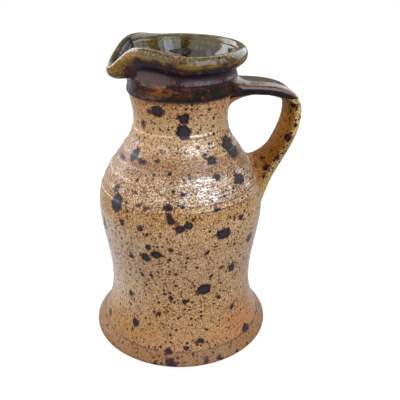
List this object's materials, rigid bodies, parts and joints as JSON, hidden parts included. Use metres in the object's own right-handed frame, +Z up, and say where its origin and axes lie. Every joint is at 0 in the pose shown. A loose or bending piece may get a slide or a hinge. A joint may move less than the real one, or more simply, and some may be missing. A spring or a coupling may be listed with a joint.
{
  "type": "stoneware pitcher",
  "caption": "Wheel-thrown stoneware pitcher with a flared foot, rounded belly, pulled pouring lip and strap handle, dipped in dark glaze at the mouth.",
  "frame": {"origin": "centre of the flat base, on the surface the pitcher stands on", "axes": "+Z up along the axis it was thrown on, +X towards the handle, -X towards the pouring lip"},
  "size_m": [0.1306, 0.1154, 0.1927],
  "materials": {
    "clay": "speckled tan stoneware with a slight sheen",
    "glaze": "glossy dark brown glaze",
    "liner": "glossy olive brown glaze"
  },
  "bodies": {
    "root": {"thrown_body": "clay", "pulled_handle": "clay", "upper_root_coil": "clay", "lower_root_coil": "clay", "liner_glaze": "liner", "collar_glaze": "glaze", "handle_glaze": "glaze"}
  },
  "joints": []
}
